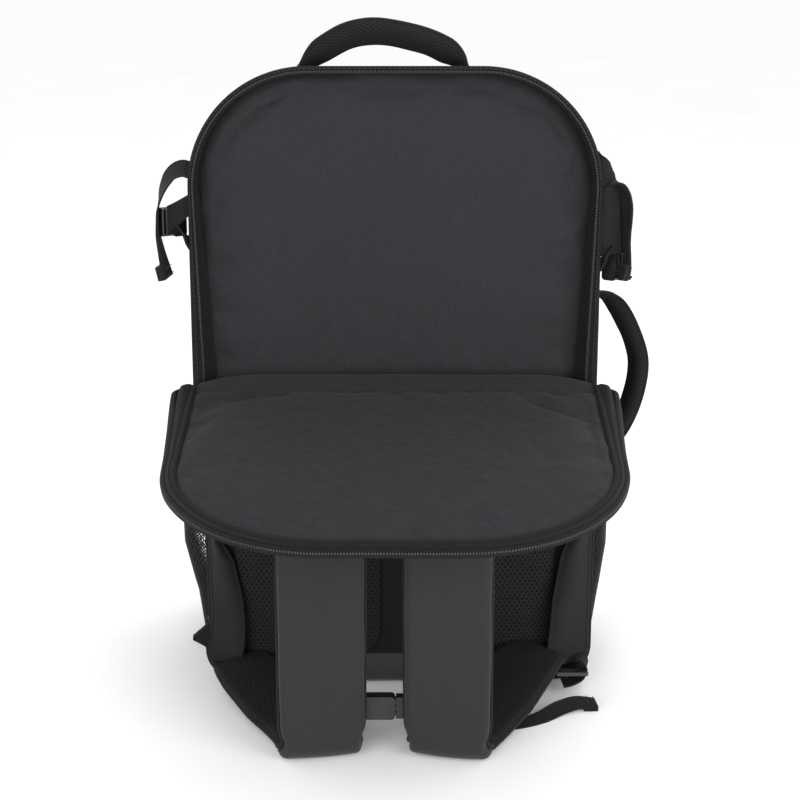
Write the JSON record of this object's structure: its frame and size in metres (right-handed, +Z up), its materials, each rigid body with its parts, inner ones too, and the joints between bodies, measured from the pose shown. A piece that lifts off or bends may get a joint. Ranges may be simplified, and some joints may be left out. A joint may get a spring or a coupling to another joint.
{
  "type": "travel backpack",
  "caption": "Upright padded travel backpack with a fold-down rear laptop bay flap carrying the shoulder straps, grab handles, side compression straps and mesh bottle pockets.",
  "frame": {"origin": "middle of the base, on the floor the bag stands on", "axes": "+Z up, -Y towards the wearer's back where the laptop bay and straps are, +X to the right of someone who faces that side"},
  "size_m": [0.4199, 0.5173, 0.5595],
  "materials": {
    "shell_fabric": "tightly woven matt nylon",
    "lining_fabric": "fine plain-weave padded lining",
    "air_mesh": "open spacer mesh over foam",
    "pocket_mesh": "open net",
    "strap_fabric": "smooth heathered nylon with piped edges",
    "webbing": "ribbed webbing",
    "binding": "grosgrain and zip tape",
    "foam": "soft closed-cell foam",
    "board": "thin stiff sheet",
    "plastic": "moulded acetal",
    "zip_metal": "dark lacquered slider"
  },
  "bodies": {
    "bag": {"base_tray": "shell_fabric", "base_board": "board", "gusset": "shell_fabric", "divider_cover": "lining_fabric", "divider_foam": "foam", "lower_back_cover": "shell_fabric", "back_frame_sheet": "board", "back_pad_left": "air_mesh", "back_pad_right": "air_mesh", "bay_zip_bag_side": "binding", "main_zip_bag_side": "binding", "bottle_pocket_left": "pocket_mesh", "bottle_pocket_right": "pocket_mesh", "pocket_hems": "binding", "strap_wings": "shell_fabric", "corner_tabs": "shell_fabric", "adjuster_webbing_left": "webbing", "adjuster_webbing_right": "webbing", "compression_wings": "shell_fabric", "compression_webbings": "webbing", "compression_buckle_females": "plastic", "handle_anchors": "webbing"},
    "flap": {"flap_cover": "lining_fabric", "flap_foam": "foam", "bay_zip_flap_side": "binding", "flap_pad_left": "air_mesh", "flap_pad_right": "air_mesh", "strap_yoke": "shell_fabric"},
    "strap_left": {"shoulder_strap_left": "strap_fabric"},
    "strap_right": {"shoulder_strap_right": "strap_fabric"},
    "strap_end_left": {"strap_lower_left": "strap_fabric", "ladder_lock_left": "plastic"},
    "strap_end_right": {"strap_lower_right": "strap_fabric", "ladder_lock_right": "plastic"},
    "sternum_left": {"sternum_slider_left": "plastic", "sternum_webbing_left": "webbing", "sternum_buckle_female": "plastic"},
    "sternum_right": {"sternum_slider_right": "plastic"},
    "sternum_male": {"sternum_buckle_male": "plastic", "sternum_webbing_right": "webbing"},
    "compression_male_left": {"compression_buckle_male_left": "plastic"},
    "compression_male_right": {"compression_buckle_male_right": "plastic"},
    "top_grip": {"top_handle_grip": "air_mesh"},
    "side_grip": {"side_handle_grip": "air_mesh"},
    "front": {"front_panel": "shell_fabric", "main_zip_panel_side": "binding", "front_pocket": "shell_fabric", "pocket_zip": "binding"},
    "bay_slider_left": {"bay_slider_left": "zip_metal"},
    "bay_slider_right": {"bay_slider_right": "zip_metal"},
    "bay_pull_left": {"bay_slider_pull_left": "zip_metal"},
    "bay_pull_right": {"bay_slider_pull_right": "zip_metal"},
    "main_slider_left": {"main_slider_left": "zip_metal"},
    "main_slider_right": {"main_slider_right": "zip_metal"},
    "main_pull_left": {"main_slider_pull_left": "zip_metal"},
    "main_pull_right": {"main_slider_pull_right": "zip_metal"},
    "pocket_slider": {"pocket_slider": "zip_metal"},
    "pocket_pull": {"pocket_slider_pull": "zip_metal"}
  },
  "joints": [
    {"name": "flap_hinge", "type": "hinge", "parent": "bag", "child": "flap", "pos_m": [0, -0.121, 0.246], "axis": [-1, 0, 0], "range_deg": [0, 99.3]},
    {"name": "strap_left_hinge", "type": "hinge", "parent": "flap", "child": "strap_left", "pos_m": [-0.057, -0.26854, 0.2188], "axis": [-1, 0, 0], "range_deg": [-80, 0]},
    {"name": "strap_right_hinge", "type": "hinge", "parent": "flap", "child": "strap_right", "pos_m": [0.041, -0.26854, 0.2188], "axis": [-1, 0, 0], "range_deg": [-80, 0]},
    {"name": "strap_left_fold", "type": "hinge", "parent": "strap_left", "child": "strap_end_left", "pos_m": [-0.057, -0.24, 0.0065], "axis": [-1, 0, 0], "range_deg": [0, 70.5]},
    {"name": "strap_right_fold", "type": "hinge", "parent": "strap_right", "child": "strap_end_right", "pos_m": [0.041, -0.24, 0.0065], "axis": [-1, 0, 0], "range_deg": [0, 70.5]},
    {"name": "sternum_height_left", "type": "slide", "parent": "strap_left", "child": "sternum_left", "axis": [0, -0.0308, 0.9995], "range_m": [0, 0.05]},
    {"name": "sternum_height_right", "type": "slide", "parent": "strap_right", "child": "sternum_right", "axis": [0, -0.0308, 0.9995], "range_m": [0, 0.05]},
    {"name": "sternum_release", "type": "slide", "parent": "sternum_right", "child": "sternum_male", "axis": [1, 0, 0], "range_m": [0, 0.024]},
    {"name": "compression_release_left", "type": "slide", "parent": "bag", "child": "compression_male_left", "axis": [-0.8, -0.6, 0], "range_m": [0, 0.014]},
    {"name": "compression_release_right", "type": "slide", "parent": "bag", "child": "compression_male_right", "axis": [0.8, -0.6, 0], "range_m": [0, 0.014]},
    {"name": "top_grip_fold", "type": "hinge", "parent": "bag", "child": "top_grip", "pos_m": [-0.009, -0.076, 0.536], "axis": [1, 0, 0], "range_deg": [-60, 60], "stiffness_Nm_per_rad": 0.1},
    {"name": "side_grip_fold", "type": "hinge", "parent": "bag", "child": "side_grip", "pos_m": [0.1855, 0, 0.253], "axis": [0, 0, 1], "range_deg": [-60, 60], "stiffness_Nm_per_rad": 0.1},
    {"name": "front_panel_fold", "type": "hinge", "parent": "bag", "child": "front", "pos_m": [0, 0.101, 0.046], "axis": [-1, 0, 0], "range_deg": [0, 90]},
    {"name": "bay_slider_left_run", "type": "slide", "parent": "bag", "child": "bay_slider_left", "axis": [0, 0, 1], "range_m": [0, 0.164]},
    {"name": "bay_slider_right_run", "type": "slide", "parent": "bag", "child": "bay_slider_right", "axis": [0, 0, 1], "range_m": [0, 0.164]},
    {"name": "bay_pull_left_swing", "type": "hinge", "parent": "bay_slider_left", "child": "bay_pull_left", "pos_m": [-0.178, -0.105, 0.242], "axis": [0, 1, 0], "range_deg": [0, 150]},
    {"name": "bay_pull_right_swing", "type": "hinge", "parent": "bay_slider_right", "child": "bay_pull_right", "pos_m": [0.178, -0.105, 0.242], "axis": [0, -1, 0], "range_deg": [0, 150]},
    {"name": "main_slider_left_run", "type": "slide", "parent": "bag", "child": "main_slider_left", "axis": [-1, 0, 0], "range_m": [0, 0.06]},
    {"name": "main_slider_right_run", "type": "slide", "parent": "bag", "child": "main_slider_right", "axis": [1, 0, 0], "range_m": [0, 0.06]},
    {"name": "main_pull_left_swing", "type": "hinge", "parent": "main_slider_left", "child": "main_pull_left", "pos_m": [-0.007, 0.0505, 0.4976], "axis": [-1, 0, 0], "range_deg": [0, 150]},
    {"name": "main_pull_right_swing", "type": "hinge", "parent": "main_slider_right", "child": "main_pull_right", "pos_m": [0.007, 0.0505, 0.4976], "axis": [-1, 0, 0], "range_deg": [0, 150]},
    {"name": "pocket_slider_run", "type": "slide", "parent": "front", "child": "pocket_slider", "axis": [1, 0, 0], "range_m": [0, 0.17]},
    {"name": "pocket_pull_swing", "type": "hinge", "parent": "pocket_slider", "child": "pocket_pull", "pos_m": [-0.086, 0.1228, 0.304], "axis": [1, 0, 0], "range_deg": [0, 150]}
  ],
  "couplings": [
    {"joint": "strap_left_hinge", "follows": "flap_hinge", "ratio": -0.8},
    {"joint": "strap_right_hinge", "follows": "flap_hinge", "ratio": -0.8},
    {"joint": "strap_left_fold", "follows": "flap_hinge", "ratio": 0.706},
    {"joint": "strap_right_fold", "follows": "flap_hinge", "ratio": 0.706},
    {"joint": "sternum_height_right", "follows": "sternum_height_left", "ratio": 1}
  ]
}
